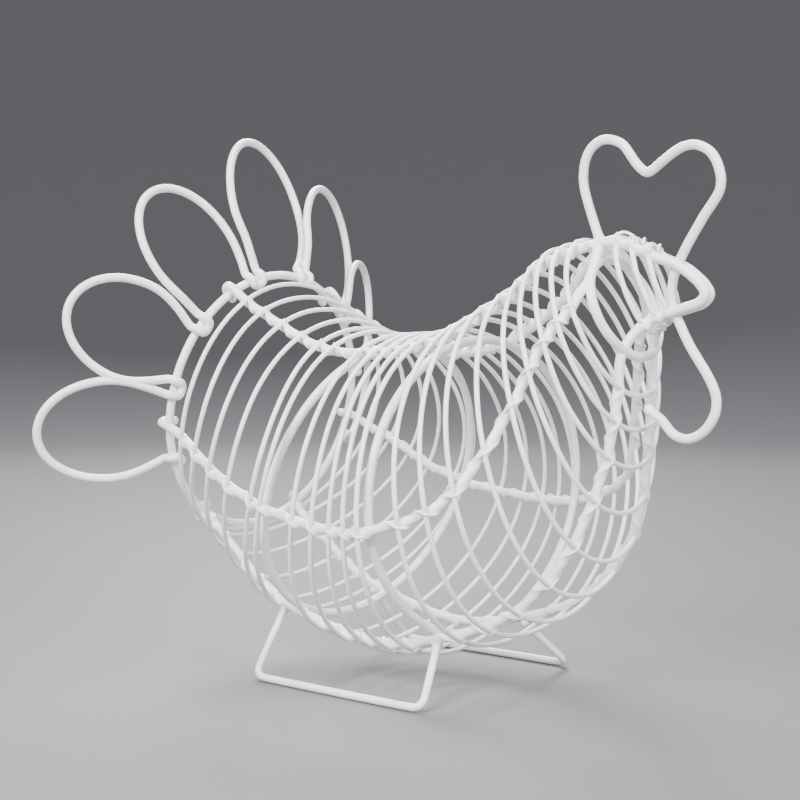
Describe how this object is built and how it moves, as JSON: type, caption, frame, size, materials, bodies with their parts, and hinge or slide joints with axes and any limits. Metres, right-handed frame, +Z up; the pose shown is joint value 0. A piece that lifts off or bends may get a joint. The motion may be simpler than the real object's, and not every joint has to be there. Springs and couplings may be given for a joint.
{
  "type": "wire egg basket",
  "caption": "Hen-shaped wire basket for eggs or produce, with a round open tail end as its mouth, a fan of wire feathers, a wire comb and two bar feet.",
  "frame": {"origin": "middle of the overall box, on the surface that the feet stand on", "axes": "+X to the head, +Y to the hen's left side, +Z up"},
  "size_m": [0.326, 0.261, 0.2914],
  "materials": {
    "wire": "satin",
    "binding": "satin"
  },
  "bodies": {
    "root": {"mouth_ring": "wire", "rear_body_ring": "wire", "front_body_ring": "wire", "neck_ring": "wire", "tail_hoop_1": "wire", "tail_hoop_2": "wire", "tail_hoop_3": "wire", "tail_hoop_4": "wire", "tail_hoop_5": "wire", "tail_hoop_6": "wire", "middle_hoop_1": "wire", "middle_hoop_2": "wire", "middle_hoop_3": "wire", "middle_hoop_4": "wire", "middle_hoop_5": "wire", "neck_hoop_1": "wire", "neck_hoop_2": "wire", "neck_hoop_3": "wire", "neck_hoop_4": "wire", "neck_hoop_5": "wire", "neck_hoop_6": "wire", "neck_hoop_7": "wire", "neck_hoop_8": "wire", "neck_hoop_9": "wire", "head_hoop_1": "wire", "head_hoop_2": "wire", "head_hoop_3": "wire", "tail_feather_1": "wire", "tail_feather_2": "wire", "tail_feather_3": "wire", "tail_feather_4": "wire", "tail_feather_5": "wire", "tail_feather_6": "wire", "tail_feather_7": "wire", "left_back_and_belly_wire": "wire", "right_back_and_belly_wire": "wire", "left_side_wire": "wire", "right_side_wire": "wire", "comb_and_wattle": "wire", "left_foot": "wire", "right_foot": "wire", "left_back_binding": "binding", "right_back_binding": "binding", "left_side_binding": "binding", "right_side_binding": "binding", "left_belly_binding": "binding", "right_belly_binding": "binding", "head_binding": "binding", "head_binding_end": "binding"}
  },
  "joints": []
}
